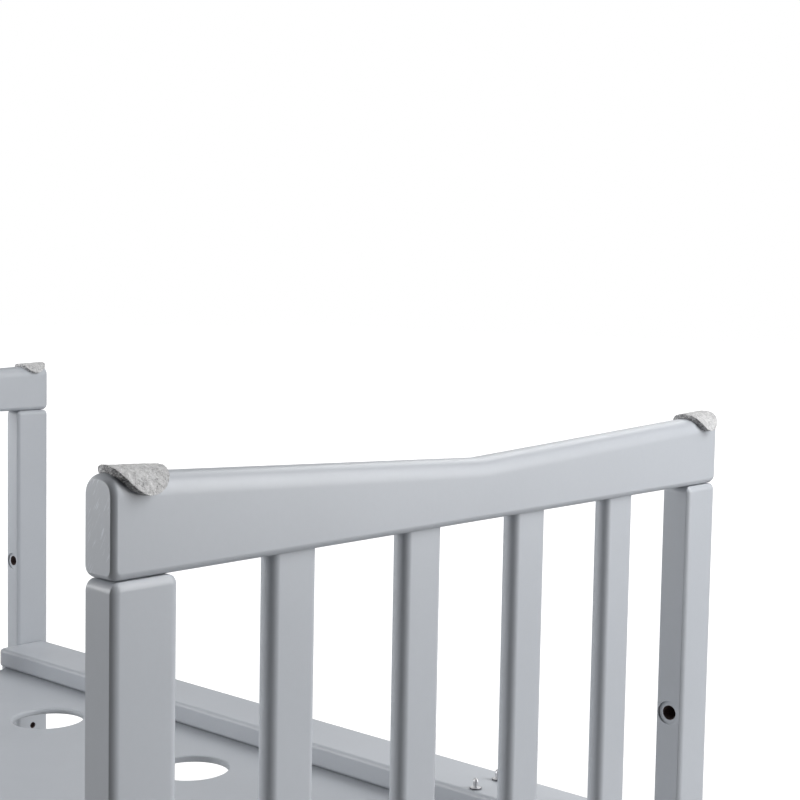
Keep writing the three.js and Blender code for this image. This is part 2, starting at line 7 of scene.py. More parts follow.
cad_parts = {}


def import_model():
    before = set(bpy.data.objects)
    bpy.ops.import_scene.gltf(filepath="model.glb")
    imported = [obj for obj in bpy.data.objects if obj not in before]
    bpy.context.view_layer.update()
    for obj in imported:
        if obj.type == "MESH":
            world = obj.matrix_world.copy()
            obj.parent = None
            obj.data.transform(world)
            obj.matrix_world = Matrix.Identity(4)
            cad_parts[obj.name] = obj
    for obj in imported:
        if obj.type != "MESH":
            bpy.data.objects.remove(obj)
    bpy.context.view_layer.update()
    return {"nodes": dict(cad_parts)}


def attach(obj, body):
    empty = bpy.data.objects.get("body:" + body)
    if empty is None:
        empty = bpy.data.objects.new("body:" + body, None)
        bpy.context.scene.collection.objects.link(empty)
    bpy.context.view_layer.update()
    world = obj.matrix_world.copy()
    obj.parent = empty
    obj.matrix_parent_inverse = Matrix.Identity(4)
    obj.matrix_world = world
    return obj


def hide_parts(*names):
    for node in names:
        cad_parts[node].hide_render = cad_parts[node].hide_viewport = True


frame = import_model()
MM = 0.001
X, Y, Z = range(3)

# Sizes that the construction has too
STOCK = 22 * MM
POST_WIDTH = 38 * MM
POST_HEIGHT = 711 * MM
FRAME_WIDTH = 540 * MM
INSIDE_LENGTH = 810 * MM
EDGE_ROUND = 4 * MM
CORNER_ROUND = 5 * MM
RAIL_END_HEIGHT = 49 * MM
RAIL_MIDDLE_HEIGHT = 36.6 * MM
RAIL_CORNER_ROUND = 6 * MM
LOWER_RAIL_HEIGHT = 45 * MM
LOWER_RAIL_UNDERSIDE = 110 * MM
SLAT_COUNT = 4
SLAT_PITCH = 101 * MM
SLAT_WIDTH = 33 * MM
SLAT_THICKNESS = 12 * MM
SLAT_ROUND = 5.5 * MM
SLAT_TENON_LENGTH = 12 * MM
BEAM_WIDTH = 56 * MM
BEAM_INSET = 6.5 * MM
BEAM_THICKNESS = 20 * MM
BEAM_ROUND = 4 * MM
BEAM_CORNER = 5 * MM
BEAM_TOP_BELOW_POSTS = 257.5 * MM
BASE_STEP = 84.75 * MM
BOARD_THICKNESS = 6 * MM
BOARD_SIDE_MARGIN = 2 * MM
BOARD_ROUND = 1.5 * MM
BOARD_CORNER = 6 * MM
BOARD_TONGUE = 58 * MM
BOARD_END_RECESS = 13 * MM
BOARD_RECESS_CORNER = 15 * MM
VENT_RADIUS = 33 * MM
VENT_COLUMNS = 3
VENT_PITCH = 210 * MM
VENT_SHIFT = 4 * MM
VENT_ROW_FROM_SIDE = 136.5 * MM
BOLT_RADIUS = 3 * MM
BOLT_HEAD_RADIUS = 8.5 * MM
COUNTERBORE_DEPTH = 3.4 * MM
CROSS_HOLE_RADIUS = 5.3 * MM
CROSS_HOLE_BELOW_TOP = 166 * MM
BARREL_RADIUS = 5 * MM
BARREL_FROM_BEAM_END = 32 * MM
STUD_FROM_END_FRAME = 152.7 * MM
STUDS_FROM_SIDE = 39.1 * MM
STUD_SPACING = 28.8 * MM
STUD_COLLAR_RADIUS = 4.8 * MM
STUD_COLLAR_HEIGHT = 1 * MM
STUD_HEAD_RADIUS = 2.4 * MM
STUD_HEAD_HEIGHT = 2.6 * MM
STUD_HEIGHT = 8.6 * MM
STUD_THREAD_RADIUS = 2.5 * MM
STUD_DEPTH = 11 * MM
FELT_LIFT = 1.2 * MM
JOINT_GAP = 0.3 * MM
OVERRUN = 1 * MM

# Finer shapes that the finished pieces have
ARRIS_ROUND = 6 * MM
ARRIS_TRIM = 1.4 * MM
RAIL_END_TRIM = 0.9 * MM
RAIL_END_DROP = 1.1 * MM
RAIL_END_CUTS = [10 * MM, 8 * MM, 6 * MM, 4.6 * MM]
RAIL_END_PROFILE = 0.42
CREST_PROFILE = 0.55
CREST_TILT = 0.03
CROSS_COUNTERBORE_DEPTH = 1.5 * MM
HOLE_EASE = 0.35 * MM
VENT_ROUND = 2.4 * MM
STUD_NECK_RADIUS = 2.1 * MM
STUD_EASE = 0.35 * MM
FELT_THICKNESS = 3 * MM
FELT_EDGE_ROUND = 0.35 * MM
FELT_RIM_DEPTH = 1.5 * MM
FELT_INNER_LIFT = 0.3 * MM
FELT_GAP = 0.2 * MM

# Places worked out from the sizes
END_FRAME_X = (INSIDE_LENGTH + STOCK) / 2
POST_Y = (FRAME_WIDTH - POST_WIDTH) / 2
BEAM_TOP = POST_HEIGHT - BEAM_TOP_BELOW_POSTS
BEAM_BOTTOM = BEAM_TOP - BEAM_THICKNESS
BEAM_Y = (FRAME_WIDTH - BEAM_WIDTH) / 2 - BEAM_INSET
BEAM_LENGTH = INSIDE_LENGTH - 2 * JOINT_GAP
BOLT_Z = BEAM_BOTTOM + BEAM_THICKNESS / 2
BOARD_TOP = BEAM_BOTTOM - JOINT_GAP
RAIL_BOTTOM = POST_HEIGHT + JOINT_GAP
LOWER_RAIL_TOP = LOWER_RAIL_UNDERSIDE + LOWER_RAIL_HEIGHT
SLAT_PLACES = [(i - (SLAT_COUNT - 1) / 2) * SLAT_PITCH for i in range(SLAT_COUNT)]
SIDES = {"right": 1, "left": -1}
ROWS = {"front": -1, "rear": 1}

# The photograph's view
CAMERA_PLACE = (939.12 * MM, -657.1 * MM, 839.75 * MM)
CAMERA_HEADING = math.pi / 2 - 0.86787
CAMERA_PITCH = 0.0693
CAMERA_ROLL = 0.0202
PICTURE_WIDTH_PX = 800
FOCAL_LENGTH_PX = 1425.88
CENTRE_SHIFT_PX = 32.32
SENSOR_WIDTH_MM = 36


def make_camera():
    lens = bpy.data.cameras.new("camera")
    lens.sensor_width = SENSOR_WIDTH_MM
    lens.lens = FOCAL_LENGTH_PX * SENSOR_WIDTH_MM / PICTURE_WIDTH_PX
    lens.shift_x = -CENTRE_SHIFT_PX / PICTURE_WIDTH_PX
    camera = bpy.data.objects.new("camera", lens)
    bpy.context.scene.collection.objects.link(camera)
    camera.matrix_world = (
        Matrix.Translation(CAMERA_PLACE)
        @ Matrix.Rotation(CAMERA_HEADING, 4, "Z")
        @ Matrix.Rotation(math.pi / 2 - CAMERA_PITCH, 4, "X")
        @ Matrix.Rotation(CAMERA_ROLL, 4, "Z")
    )
    bpy.context.scene.camera = camera


make_camera()


# Shader sums

# Sockets of the Mix node that share a name with others
MIX_FACTOR, MIX_FIRST_COLOUR, MIX_SECOND_COLOUR = 0, 6, 7
MIX_COLOUR_RESULT = 2


class Wire:
    """A socket in a material, with sums and products that add their Math nodes."""

    def __init__(self, paint, socket):
        self.paint = paint
        self.socket = socket

    def worked_with(self, operation, other):
        return self.paint.node("ShaderNodeMath", {"operation": operation}, {0: self, 1: other})

    def __add__(self, other):
        return self.worked_with("ADD", other)

    def __sub__(self, other):
        return self.worked_with("SUBTRACT", other)

    def __rsub__(self, other):
        return self * -1 + other

    def __mul__(self, other):
        return self.worked_with("MULTIPLY", other)

    __radd__ = __add__
    __rmul__ = __mul__

    def scaled(self, low, high):
        """Runs from low to high while the socket runs from 0 to 1."""
        return low + self * (high - low)


class Paint:
    """The nodes of one material or of the world."""

    def __init__(self, holder):
        holder.use_nodes = True
        self.holder = holder
        self.tree = holder.node_tree
        self.tree.nodes.clear()

    def node(self, kind, settings=None, sockets=None, output=0):
        """Adds a node, sets it and wires it, and gives one of its outputs if it has any."""
        made = self.tree.nodes.new(kind)
        for name, value in (settings or {}).items():
            if name == "stops":
                self.set_stops(made.color_ramp.elements, value)
            else:
                setattr(made, name, value)
        for name, value in (sockets or {}).items():
            if isinstance(value, Wire):
                self.tree.links.new(value.socket, made.inputs[name])
            else:
                made.inputs[name].default_value = value
        return Wire(self, made.outputs[output]) if made.outputs else None

    def set_stops(self, elements, stops):
        while len(elements) < len(stops):
            elements.new(1)
        for element, (position, shade) in zip(elements, stops):
            element.position = position
            element.color = colour_of(shade)

    def place(self):
        return self.node("ShaderNodeTexCoord", output="Object")

    def cloud(self, where, scale, detail=3, roughness=0.55, distortion=0):
        sockets = {"Vector": where, "Scale": scale, "Detail": detail,
                   "Roughness": roughness, "Distortion": distortion}
        return self.node("ShaderNodeTexNoise", None, sockets)

    def ramp(self, value, stops):
        return self.node("ShaderNodeValToRGB", {"stops": stops}, {"Fac": value})

    def fade(self, value, start, stop):
        """Rises from black to white while a value goes from start to stop."""
        return self.ramp(value, [(start, 0), (stop, 1)])

    def between(self, factor, first, second):
        sockets = {MIX_FACTOR: factor, MIX_FIRST_COLOUR: first, MIX_SECOND_COLOUR: second}
        return self.node("ShaderNodeMix", {"data_type": "RGBA"}, sockets, MIX_COLOUR_RESULT)

    def relief(self, height, distance, strength):
        sockets = {"Height": height, "Distance": distance, "Strength": strength}
        return self.node("ShaderNodeBump", None, sockets)

    def surface(self, **sockets):
        named = {name.replace("_", " "): value for name, value in sockets.items()}
        shader = self.node("ShaderNodeBsdfPrincipled", None, named)
        self.node("ShaderNodeOutputMaterial", None, {"Surface": shader})
        return self.holder


def colour_of(shade):
    """A colour socket's value from a grey or from a shade's three parts."""
    return (*shade, 1) if isinstance(shade, tuple) else (shade, shade, shade, 1)


def toned(shade, factor):
    return tuple(part * factor for part in shade)


def new_paint(name):
    return Paint(bpy.data.materials.new(name))


# Materials

LACQUER_SHADE = (0.437, 0.46, 0.495)
# How light each tone is against the lacquer's shade
BOARD_TONE = 0.93
# The rail ends' tone is lighter than the frame's: painted light on the end faces.
RAIL_END_PAINTED_LIGHT_TONE = 1.16
DARK_CLOUD_TONE = 0.972
LIGHT_CLOUD_TONE = 1.02
SCRATCH_TONE = 1.35

SCRATCH_COVER = 0.8
SCRATCH_LEAN = math.radians(28)
SCRATCH_STRETCH = 14
BROAD_CLOUD_SHARE = 0.7
PEEL_SHARE = 0.7
PEEL_DEPTH = 0.06 * MM
TURNING_DEPTH = 0.02 * MM
BLOTCH_DULLNESS = 0.14
GRAIN_DEPTH = 0.1 * MM
BEECH_GRAIN_STRETCH = 0.12
NAP_DEPTH = 0.4 * MM
FACE_TUFT_SHARE = 0.42
CUT_TUFT_SHARE = 0.3
RAGGEDNESS = 1.2
FIBRE_HEIGHT = 0.6
MIDDLE_GREY = 0.5

# Shades from the dark hollows to the light ends, each after its place on the ramp
FELT_FACE = [
    (0.36, (0.17, 0.17, 0.175)),
    (0.45, (0.46, 0.46, 0.465)),
    (0.56, (0.6, 0.6, 0.6)),
    (0.66, (0.76, 0.76, 0.77)),
]
FELT_CUT = [
    (0.41, (0.04, 0.04, 0.045)),
    (0.48, (0.2, 0.2, 0.21)),
    (0.55, (0.6, 0.6, 0.6)),
    (0.62, (0.9, 0.9, 0.9)),
]
# Bare wood in the bores, drawn dark as painted shade.
BORE_PAINTED_SHADE_STOPS = [(0.35, (0.11, 0.08, 0.075)), (0.65, (0.18, 0.13, 0.12))]
BEECH_SHADES = [(0.35, (0.42, 0.27, 0.15)), (0.6, (0.64, 0.46, 0.29))]


def scratches(paint, place):
    """Fine slanting scratches that come in patches."""
    lean = {"Vector": place, "Rotation": (0, SCRATCH_LEAN, 0), "Scale": (1, 1, SCRATCH_STRETCH)}
    along = paint.node("ShaderNodeMapping", {"vector_type": "TEXTURE"}, lean)
    lines = paint.fade(paint.cloud(along, scale=1500), start=0.58, stop=0.64)
    patches = paint.fade(paint.cloud(place, scale=90, detail=2), start=0.4, stop=0.55)
    return lines * patches * SCRATCH_COVER


def lacquer(name, shade, peel=1, scratched=False):
    """Satin lacquer: an even, faintly cloudy colour, a soft orange peel and a few fine nibs."""
    paint = new_paint(name)
    place = paint.place()
    broad = paint.cloud(place, scale=9, detail=4)
    fine = paint.cloud(place, scale=260)
    clouds = broad * BROAD_CLOUD_SHARE + fine * (1 - BROAD_CLOUD_SHARE)
    dark = colour_of(toned(shade, DARK_CLOUD_TONE))
    light = colour_of(toned(shade, LIGHT_CLOUD_TONE))
    colour = paint.between(paint.fade(clouds, start=0.3, stop=0.7), dark, light)
    if scratched:
        scraped = colour_of(toned(shade, SCRATCH_TONE))
        colour = paint.between(scratches(paint, place), colour, scraped)
    nibs = paint.fade(paint.cloud(place, scale=900, detail=2), start=0.66, stop=0.8)
    height = paint.cloud(place, scale=420) * PEEL_SHARE + nibs * (1 - PEEL_SHARE)
    gloss = paint.cloud(place, scale=45, detail=4)
    return paint.surface(
        Base_Color=colour,
        Roughness=gloss.scaled(low=0.34, high=0.44),
        Normal=paint.relief(height, PEEL_DEPTH, strength=0.5 * peel),
    )


def felt():
    """Pressed wool felt: a pale napped face, and a dark cut rim with light fibre ends in it."""
    paint = new_paint("pressed_felt")
    place = paint.place()
    rim = paint.node("ShaderNodeAttribute", {"attribute_name": "cut_rim"}, output="Fac")
    tufts = paint.cloud(place, scale=420, detail=4, roughness=0.6, distortion=0.4)
    fibres = paint.cloud(place, scale=1400, roughness=0.7, distortion=1.2)
    napped = tufts * FACE_TUFT_SHARE + fibres * (1 - FACE_TUFT_SHARE)
    pressed = tufts * CUT_TUFT_SHARE + fibres * (1 - CUT_TUFT_SHARE)
    face, cut_face = paint.ramp(napped, FELT_FACE), paint.ramp(pressed, FELT_CUT)
    ragged = paint.fade(rim + (fibres - MIDDLE_GREY) * RAGGEDNESS, start=0.8, stop=0.95)
    return paint.surface(
        Base_Color=paint.between(ragged, face, cut_face),
        Roughness=fibres.scaled(low=0.95, high=1),
        Normal=paint.relief(fibres * FIBRE_HEIGHT + tufts, NAP_DEPTH, strength=0.8),
        Sheen_Weight=0.15,
    )


def steel(name, dark, bright, roughness):
    """Metal with fine turning marks and a faint blotch."""
    paint = new_paint(name)
    place = paint.place()
    blotch = paint.cloud(place, scale=300)
    marks = paint.cloud(place, scale=2600, detail=2)
    return paint.surface(
        Base_Color=paint.between(blotch, colour_of(dark), colour_of(bright)),
        Metallic=1,
        Roughness=blotch.scaled(low=roughness, high=roughness + BLOTCH_DULLNESS),
        Normal=paint.relief(marks, TURNING_DEPTH, strength=0.4),
    )


def bore_wood_painted_shade():
    """Bare wood inside a bore, darkened with painted shade of the hole."""
    paint = new_paint("bore_wood_painted_shade")
    fleck = paint.cloud(paint.place(), scale=700)
    return paint.surface(
        Base_Color=paint.ramp(fleck, BORE_PAINTED_SHADE_STOPS),
        Roughness=0.9,
        Normal=paint.relief(fleck, GRAIN_DEPTH, strength=0.5),
    )


def beech():
    """Bare turned beech with short darker flecks along the grain."""
    paint = new_paint("bare_beech")
    grain = {"Vector": paint.place(), "Scale": (1, 1, BEECH_GRAIN_STRETCH)}
    along = paint.node("ShaderNodeMapping", None, grain)
    flecks = paint.cloud(along, scale=900, detail=4, roughness=0.65)
    return paint.surface(
        Base_Color=paint.ramp(flecks, BEECH_SHADES),
        Roughness=flecks.scaled(low=0.6, high=0.8),
        Normal=paint.relief(flecks, GRAIN_DEPTH, strength=0.5),
    )


FRAME_LACQUER = lacquer("frame_lacquer", LACQUER_SHADE)
BOARD_LACQUER = lacquer("board_lacquer", toned(LACQUER_SHADE, BOARD_TONE), peel=1.4)
# Rail end faces: real fine scratches on a lighter tone that is painted light.
RAIL_END_SCRATCHES_AND_PAINTED_LIGHT = lacquer("rail_end_scratches_and_painted_light", toned(LACQUER_SHADE, RAIL_END_PAINTED_LIGHT_TONE), scratched=True)
# Painted shade on the walls of the bores.
BORE_PAINTED_SHADE = bore_wood_painted_shade()
FELT = felt()
STEEL = steel("bright_zinc", (0.6, 0.61, 0.63), (0.82, 0.83, 0.85), roughness=0.16)
STUD_STEEL = steel("dull_nickel", (0.5, 0.5, 0.51), (0.68, 0.68, 0.7), roughness=0.42)
COLLAR_STEEL = steel("dark_nickel", (0.12, 0.12, 0.13), (0.22, 0.22, 0.24), roughness=0.3)
BEECH = beech()


# Bench tools

NEAR = 0.02 * MM
MERGE_DISTANCE = 0.06 * MM
SHARP_ANGLE = math.radians(60)
PARALLEL = 0.999
SIDE_ON = 0.5


def deselect_all():
    bpy.ops.object.select_all(action="DESELECT")


def only(piece):
    deselect_all()
    piece.select_set(True)
    bpy.context.view_layer.objects.active = piece


def block(name, low, high):
    """A sawn block between two corners."""
    deselect_all()
    low, high = Vector(low), Vector(high)
    bpy.ops.mesh.primitive_cube_add(size=1, location=(low + high) / 2)
    piece = bpy.context.object
    piece.name = name
    piece.scale = high - low
    bpy.ops.object.transform_apply(location=True, rotation=True, scale=True)
    return piece


def everything(item):
    return True


def edit(piece, kind, wanted):
    """Opens a piece and selects its edges, vertices or faces that pass a test."""
    only(piece)
    bpy.ops.object.mode_set(mode="EDIT")
    bpy.ops.mesh.select_mode(type=kind)
    bpy.ops.mesh.select_all(action="DESELECT")
    mesh = bmesh.from_edit_mesh(piece.data)
    for item in {"EDGE": mesh.edges, "VERT": mesh.verts, "FACE": mesh.faces}[kind]:
        if wanted(item):
            item.select_set(True)
    mesh.select_flush_mode()
    bmesh.update_edit_mesh(piece.data)


def close(piece):
    bpy.ops.object.mode_set(mode="OBJECT")
    return piece


def round_over(piece, wanted, radius, steps=6, profile=0.5):
    edit(piece, "EDGE", wanted)
    bpy.ops.mesh.bevel(
        offset=radius, segments=steps, profile=profile, affect="EDGES", clamp_overlap=True,
    )
    return close(piece)


def runs_along(axis):
    def test(edge):
        run = (edge.verts[1].co - edge.verts[0].co).normalized()
        return abs(run[axis]) > PARALLEL
    return test


def lies_at(axis, *places):
    def test(edge):
        return any(all(abs(v.co[axis] - place) < NEAR for v in edge.verts) for place in places)
    return test


def is_sharp(edge):
    return len(edge.link_faces) == 2 and edge.calc_face_angle() > SHARP_ANGLE


def apply(piece, kind, **settings):
    only(piece)
    modifier = piece.modifiers.new(kind.lower(), kind)
    for name, value in settings.items():
        setattr(modifier, name, value)
    bpy.ops.object.modifier_apply(modifier=modifier.name)
    return piece


def cut(piece, cutter, operation="DIFFERENCE"):
    apply(piece, "BOOLEAN", object=cutter, operation=operation, solver="EXACT")
    bpy.data.objects.remove(cutter)
    return piece


def score(piece, wanted, place, direction):
    """Cuts new edges where the faces that pass a test cross a plane."""
    edit(piece, "FACE", wanted)
    bpy.ops.mesh.bisect(plane_co=place, plane_no=direction)
    return close(piece)


def saw(piece, place, outward):
    """Saws off what lies beyond a plane and leaves a flat end."""
    edit(piece, "FACE", everything)
    bpy.ops.mesh.bisect(plane_co=place, plane_no=outward, use_fill=True, clear_outer=True)
    return close(piece)


def drill(piece, radius, mouth, direction, depth, sides=48):
    """Bores a hole to a depth below its mouth; direction points into the wood."""
    direction = Vector(direction)
    start = Vector(mouth) - direction * OVERRUN
    length = depth + OVERRUN
    deselect_all()
    bpy.ops.mesh.primitive_cylinder_add(
        vertices=sides,
        radius=radius,
        depth=length,
        location=start + direction * length / 2,
        rotation=direction.to_track_quat("Z", "Y").to_euler(),
    )
    return cut(piece, bpy.context.object)


def ease_rim(piece, radius, mouth, direction, ease=HOLE_EASE):
    """Rounds the rim of a hole at its mouth."""
    axis, mouth = Vector(direction), Vector(mouth)

    def on_rim(edge):
        for vertex in edge.verts:
            offset = vertex.co - mouth
            depth = offset.dot(axis)
            if abs(depth) > NEAR or abs((offset - axis * depth).length - radius) > NEAR:
                return False
        return True
    return round_over(piece, on_rim, ease)


def finish_piece(piece, material, slot, *nodes, angle=20):
    """Gives a piece its shading, finish and place in the object."""
    only(piece)
    bpy.ops.object.shade_smooth_by_angle(angle=math.radians(angle))
    apply(piece, "WEIGHTED_NORMAL", keep_sharp=True, weight=80)
    piece.data.materials.clear()
    piece.data.materials.append(material)
    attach(piece, "root")
    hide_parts(*nodes)
    return piece


def second_finish(piece, material, wanted):
    """Gives the faces that pass a test a material of their own, such as the rail ends' painted
    light and the bores' painted shade.
    """
    piece.data.materials.append(material)
    for face in piece.data.polygons:
        if wanted(face):
            face.material_index = 1
    return piece


def in_bore(axis, middle, radius):
    """A test for the wall of a round hole."""
    def test(face):
        offset = face.center - Vector(middle)
        offset[axis] = 0
        return offset.length < radius + NEAR and abs(face.normal[axis]) < SIDE_ON
    return test


def copy_of(piece, name, shift):
    made = piece.copy()
    made.data = piece.data.copy()
    made.name = name
    bpy.context.scene.collection.objects.link(made)
    made.data.transform(Matrix.Translation(shift))
    return made


# End frames

def routed_post(name, low, high):
    """An upright board with rounded corners and a round routed along both wide faces.

    The router leaves a fine arris where the round meets the narrow faces.
    """
    piece = block(name, low, high)
    round_over(piece, runs_along(X), CORNER_ROUND)
    trim = Vector((0, ARRIS_TRIM, ARRIS_TRIM))
    routed = block("routed", Vector(low) - trim, Vector(high) + trim)
    round_over(routed, runs_along(X), CORNER_ROUND + ARRIS_TRIM)
    round_over(routed, lies_at(X, low[X], high[X]), ARRIS_ROUND, steps=8)
    return cut(piece, routed, "INTERSECT")


def post(side_name, row_name):
    side, row = SIDES[side_name], ROWS[row_name]
    x, y = side * END_FRAME_X, row * POST_Y
    near, far = x - STOCK / 2, x + STOCK / 2
    low, high = (near, y - POST_WIDTH / 2, 0), (far, y + POST_WIDTH / 2, POST_HEIGHT)
    piece = routed_post(f"{side_name}_{row_name}_post_wood", low, high)
    inner = (x, y - row * POST_WIDTH / 2, POST_HEIGHT - CROSS_HOLE_BELOW_TOP)
    outward = (0, row, 0)
    drill(piece, BOLT_HEAD_RADIUS, inner, outward, CROSS_COUNTERBORE_DEPTH)
    drill(piece, CROSS_HOLE_RADIUS, inner, outward, POST_WIDTH + OVERRUN)
    ease_rim(piece, BOLT_HEAD_RADIUS, inner, outward)
    bores = [in_bore(Y, inner, CROSS_HOLE_RADIUS)]
    for z in (BOLT_Z, BOLT_Z - BASE_STEP):
        mouth, inward = (x + side * STOCK / 2, y, z), (-side, 0, 0)
        drill(piece, BOLT_HEAD_RADIUS + JOINT_GAP, mouth, inward, COUNTERBORE_DEPTH)
        drill(piece, BOLT_RADIUS + JOINT_GAP, mouth, inward, STOCK + OVERRUN)
        ease_rim(piece, BOLT_HEAD_RADIUS + JOINT_GAP, mouth, inward)
        bores.append(in_bore(X, mouth, BOLT_RADIUS + JOINT_GAP))
    finish_piece(piece, FRAME_LACQUER, "frame_lacquer", f"{side_name}_{row_name}_post")
    # The bores' walls get bare wood darkened with painted shade.
    return second_finish(piece, BORE_PAINTED_SHADE, lambda face: any(test(face) for test in bores))


def mortises(piece, x, low, high):
    """Blind slots for the slats' ends."""
    across, along = SLAT_THICKNESS / 2 + JOINT_GAP, SLAT_WIDTH / 2 + JOINT_GAP
    for y in SLAT_PLACES:
        cutter = block("slot", (x - across, y - along, low), (x + across, y + along, high))
        round_over(cutter, runs_along(Z), SLAT_ROUND, steps=5)
        cut(piece, cutter)


def crest_height(y):
    share = abs(y) / (FRAME_WIDTH / 2)
    return RAIL_MIDDLE_HEIGHT + (RAIL_END_HEIGHT - RAIL_MIDDLE_HEIGHT) * share


def crest_radius(angle):
    """The crest's distance from its axis: a half round, a little squared."""
    power = -2 * math.log(2) / math.log(CREST_PROFILE)
    spread = abs(math.sin(angle)) ** power + abs(math.cos(angle)) ** power
    return STOCK / 2 * spread ** (-1 / power)


def end_share(y):
    """Rises from 0 to 1 over the last stretch of a rail, where its crest falls away."""
    reach = RAIL_END_CUTS[0]
    return max(0, (abs(y) - FRAME_WIDTH / 2 + reach) / reach) ** 2


def top_rail(side_name):
    x = SIDES[side_name] * END_FRAME_X
    near, far = x - STOCK / 2, x + STOCK / 2
    end = FRAME_WIDTH / 2 + RAIL_END_TRIM
    top = RAIL_BOTTOM + RAIL_END_HEIGHT
    piece = block(f"{side_name}_top_rail_wood", (near, -end, RAIL_BOTTOM), (far, end, top))
    score(piece, everything, (x, 0, top), (0, 1, 0))
    edit(piece, "VERT", lambda vertex: abs(vertex.co.y) < NEAR and vertex.co.z > top - NEAR)
    bpy.ops.transform.translate(value=(0, 0, RAIL_MIDDLE_HEIGHT - RAIL_END_HEIGHT))
    close(piece)

    def on_crest(edge):
        first, second = (vertex.co for vertex in edge.verts)
        lowest = RAIL_BOTTOM + RAIL_MIDDLE_HEIGHT - NEAR
        return min(first.z, second.z) > lowest and abs(first.y - second.y) > NEAR

    round_over(piece, on_crest, STOCK / 2 - NEAR, steps=12, profile=CREST_PROFILE)
    edit(piece, "VERT", everything)
    bpy.ops.mesh.remove_doubles(threshold=MERGE_DISTANCE)
    close(piece)
    for row in ROWS.values():
        for cut_from_end in RAIL_END_CUTS:
            place = (x, row * (FRAME_WIDTH / 2 - cut_from_end), top)
            score(piece, lambda face: face.normal.z > CREST_TILT, place, (0, 1, 0))
    for vertex in piece.data.vertices:
        y, z = vertex.co.y, vertex.co.z
        above_axis = max(0, (z - RAIL_BOTTOM - crest_height(y) + STOCK / 2) / (STOCK / 2))
        vertex.co.z = z - RAIL_END_DROP * end_share(y) * above_axis

    def at_lower_end(edge):
        corner = edge.verts[0].co
        return runs_along(X)(edge) and corner.z < RAIL_BOTTOM + NEAR and abs(corner.y) > end - NEAR

    round_over(piece, at_lower_end, RAIL_CORNER_ROUND, steps=8)
    round_over(piece, is_sharp, EDGE_ROUND, steps=8, profile=RAIL_END_PROFILE)
    for row in ROWS.values():
        saw(piece, (x, row * FRAME_WIDTH / 2, top), (0, row, 0))
    mortises(piece, x, RAIL_BOTTOM - OVERRUN, RAIL_BOTTOM + SLAT_TENON_LENGTH + JOINT_GAP)
    finish_piece(piece, FRAME_LACQUER, "frame_lacquer", f"{side_name}_top_rail")
    # The sawn end faces get the lighter lacquer: painted light, with real scratches.
    sawn = FRAME_WIDTH / 2 - NEAR
    return second_finish(piece, RAIL_END_SCRATCHES_AND_PAINTED_LIGHT, lambda face: abs(face.center.y) > sawn)


def lower_rail(side_name):
    x = SIDES[side_name] * END_FRAME_X
    near, far = x - STOCK / 2, x + STOCK / 2
    end = FRAME_WIDTH / 2 - POST_WIDTH - JOINT_GAP
    low, high = (near, -end, LOWER_RAIL_UNDERSIDE), (far, end, LOWER_RAIL_TOP)
    piece = block(f"{side_name}_lower_rail_wood", low, high)
    round_over(piece, runs_along(X), CORNER_ROUND)
    round_over(piece, lies_at(X, near, far), EDGE_ROUND)
    mortises(piece, x, LOWER_RAIL_TOP - SLAT_TENON_LENGTH - JOINT_GAP, LOWER_RAIL_TOP + OVERRUN)
    return finish_piece(piece, FRAME_LACQUER, "frame_lacquer", f"{side_name}_lower_rail")


def slats():
    across, along = SLAT_THICKNESS / 2, SLAT_WIDTH / 2
    low, high = LOWER_RAIL_TOP - SLAT_TENON_LENGTH, RAIL_BOTTOM + SLAT_TENON_LENGTH
    first = block("slat", (-across, -along, low), (across, along, high))
    round_over(first, runs_along(Z), SLAT_ROUND)
    for side_name, side in SIDES.items():
        for i, y in enumerate(SLAT_PLACES):
            shift = (side * END_FRAME_X, y, 0)
            piece = copy_of(first, f"{side_name}_slat_{i + 1}_wood", shift)
            finish_piece(piece, FRAME_LACQUER, "frame_lacquer", f"{side_name}_slat_{i + 1}")
    bpy.data.objects.remove(first)


# Base

def beam(row_name):
    row = ROWS[row_name]
    end, half_width = BEAM_LENGTH / 2, BEAM_WIDTH / 2
    front, rear = row * BEAM_Y - half_width, row * BEAM_Y + half_width
    piece = block(f"{row_name}_beam_wood", (-end, front, BEAM_BOTTOM), (end, rear, BEAM_TOP))
    round_over(piece, runs_along(Z), BEAM_CORNER)
    round_over(piece, lies_at(Z, BEAM_TOP, BEAM_BOTTOM), BEAM_ROUND, steps=5)
    for side in SIDES.values():
        mouth = (side * (end - BARREL_FROM_BEAM_END), row * POST_Y, BEAM_BOTTOM)
        drill(piece, BARREL_RADIUS + JOINT_GAP, mouth, (0, 0, 1), BEAM_THICKNESS - JOINT_GAP)
    return finish_piece(piece, FRAME_LACQUER, "frame_lacquer", f"{row_name}_beam")


